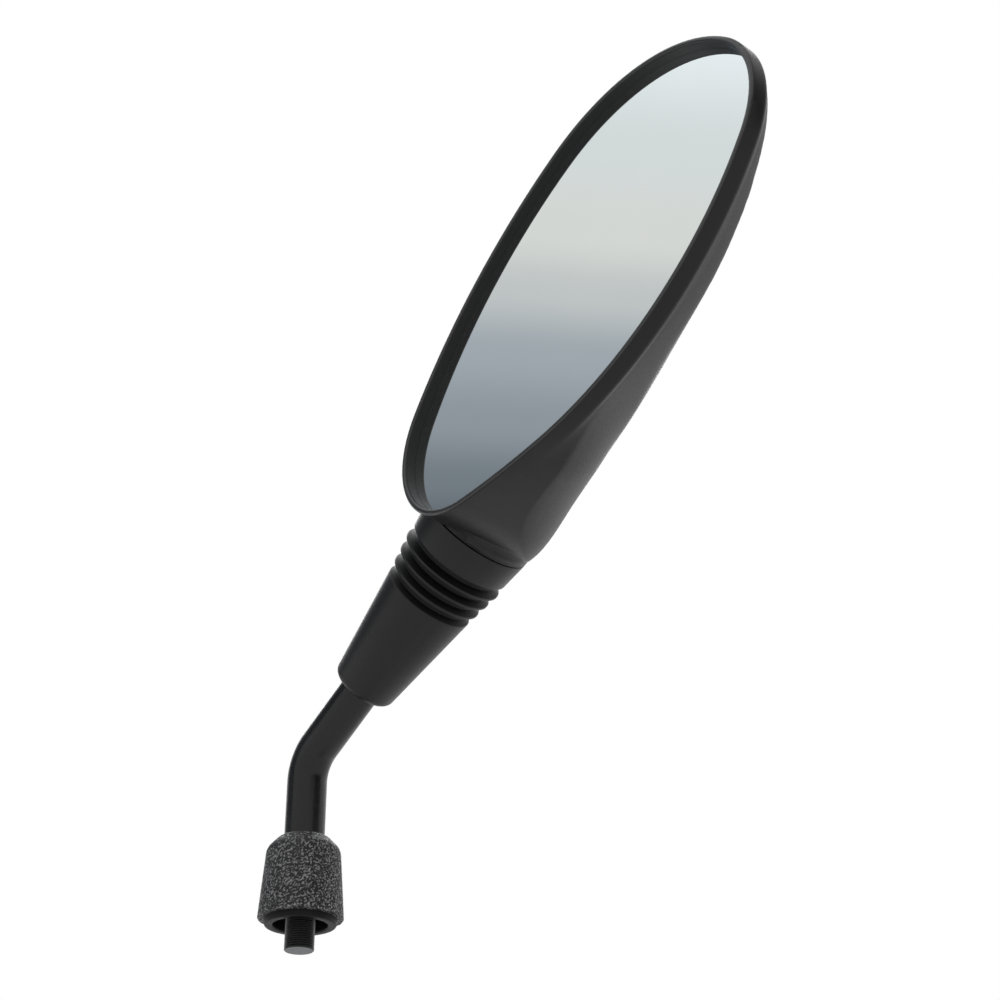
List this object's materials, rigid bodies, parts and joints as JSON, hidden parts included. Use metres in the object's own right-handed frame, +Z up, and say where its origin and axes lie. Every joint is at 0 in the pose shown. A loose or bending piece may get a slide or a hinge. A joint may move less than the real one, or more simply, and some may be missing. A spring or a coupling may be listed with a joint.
{
  "type": "motorcycle mirror",
  "caption": "Black motorcycle mirror: egg-shaped moulded head with convex glass on a ball joint, bellows boot, bent steel stem, rubber nut cap and threaded stud.",
  "frame": {"origin": "on the stud's axis, in the plane of the cap sleeve's lower face, where the mirror seats on the handlebar fitting", "axes": "+Z up the stud and the lower stem, +X the way the upper stem leans, and the glass faces mostly -Y, towards the rider"},
  "size_m": [0.2055, 0.0442, 0.1913],
  "materials": {
    "black_painted_steel": "semi-gloss black paint",
    "bright_steel": "ground bright",
    "spring_steel": "blackened",
    "zinc_plated_steel": "zinc plated",
    "nylon": "natural, matt",
    "acetal": "black, matt",
    "insert_brass": "turned",
    "head_plastic": "black, satin, fine moulded grain",
    "mirror_glass": "silvered behind, polished",
    "pad_foam": "closed-cell foam",
    "carrier_plastic": "black, matt",
    "boot_rubber": "satin moulded rubber",
    "cap_rubber": "pebbled matt rubber",
    "sleeve_plastic": "black, smooth satin"
  },
  "bodies": {
    "stem": {"stem": "black_painted_steel", "pivot_ball": "bright_steel", "snap_ring": "spring_steel", "bellows_boot": "boot_rubber", "lock_nut": "zinc_plated_steel"},
    "liner": {"ball_liner": "nylon"},
    "seats": {"lower_seat": "acetal", "upper_seat": "acetal"},
    "head": {"head_shell": "head_plastic", "mirror_glass": "mirror_glass", "glass_pad": "pad_foam", "glass_carrier": "carrier_plastic", "carrier_screws": "zinc_plated_steel", "clamp_plate": "zinc_plated_steel", "clamp_washers": "zinc_plated_steel", "clamp_screws": "zinc_plated_steel", "clamp_inserts": "insert_brass", "disc_spring": "spring_steel"},
    "cap": {"nut_cap": "cap_rubber", "cap_sleeve": "sleeve_plastic"}
  },
  "joints": [
    {"name": "head_tilt", "type": "hinge", "parent": "stem", "child": "liner", "pos_m": [0.07463, 0, 0.09283], "axis": [-0.526, 0.1219, 0.8417], "range_deg": [-12, 12], "deforming": ["bellows_boot"]},
    {"name": "head_roll", "type": "hinge", "parent": "liner", "child": "seats", "pos_m": [0.07463, 0, 0.09283], "axis": [-0.0646, -0.9925, 0.1034], "range_deg": [-12, 12], "deforming": ["bellows_boot"]},
    {"name": "head_swivel", "type": "hinge", "parent": "seats", "child": "head", "pos_m": [0.07463, 0, 0.09283], "axis": [0.848, 0, 0.5299], "range_deg": [-90, 90]},
    {"name": "cap_slide", "type": "slide", "parent": "stem", "child": "cap", "axis": [0, 0, 1], "range_m": [0, 0.014]}
  ]
}
